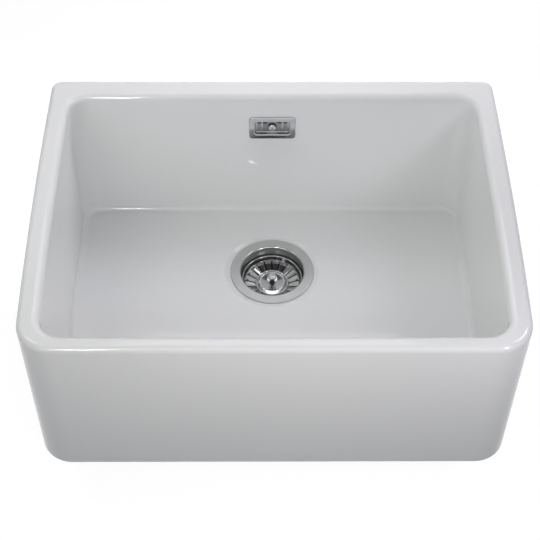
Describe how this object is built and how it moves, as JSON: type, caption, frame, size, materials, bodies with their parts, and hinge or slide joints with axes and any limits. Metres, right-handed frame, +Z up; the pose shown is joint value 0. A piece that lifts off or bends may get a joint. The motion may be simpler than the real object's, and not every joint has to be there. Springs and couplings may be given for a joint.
{
  "type": "farmhouse apron front sink",
  "caption": "White fireclay kitchen sink with a deep single basin and an exposed apron front, a lift-out strainer waste and a rear overflow.",
  "frame": {"origin": "middle of the plane on which the foot of the sink stands", "axes": "+Z up towards the rim, -Y towards the apron and the user, +X to the user's right"},
  "size_m": [0.5947, 0.4928, 0.317],
  "materials": {
    "fireclay": "glossy white glaze",
    "waste_steel": "satin",
    "basket_steel": "bright polished",
    "cover_steel": "bright polished",
    "polished_chrome": "polished",
    "insert_brass": "turned",
    "seal_rubber": "matt black",
    "black_plastic": "moulded",
    "white_plastic": "moulded polypropylene",
    "hose_plastic": "corrugated tube"
  },
  "bodies": {
    "sink": {"sink_bowl": "fireclay", "strainer_bowl": "waste_steel", "flange_seal": "seal_rubber", "fixing_screw": "waste_steel", "screw_washer": "waste_steel", "lower_gasket": "seal_rubber", "waste_body": "white_plastic", "body_insert": "insert_brass", "overflow_cover": "cover_steel", "cover_seal": "seal_rubber", "overflow_screw": "polished_chrome", "elbow_gasket": "seal_rubber", "overflow_elbow": "white_plastic", "elbow_insert": "insert_brass", "overflow_hose": "hose_plastic", "upper_hose_nut": "white_plastic", "upper_hose_seal": "seal_rubber", "lower_hose_nut": "white_plastic", "lower_hose_seal": "seal_rubber"},
    "basket": {"strainer_basket": "basket_steel", "basket_dish": "basket_steel", "lift_knob": "polished_chrome", "plug_carrier": "black_plastic", "plug_seal": "seal_rubber", "plug_nut": "waste_steel", "catch_ring": "seal_rubber"}
  },
  "joints": [
    {"name": "basket_lift", "type": "slide", "parent": "sink", "child": "basket", "axis": [0, 0, 1], "range_m": [0, 0.26]}
  ]
}
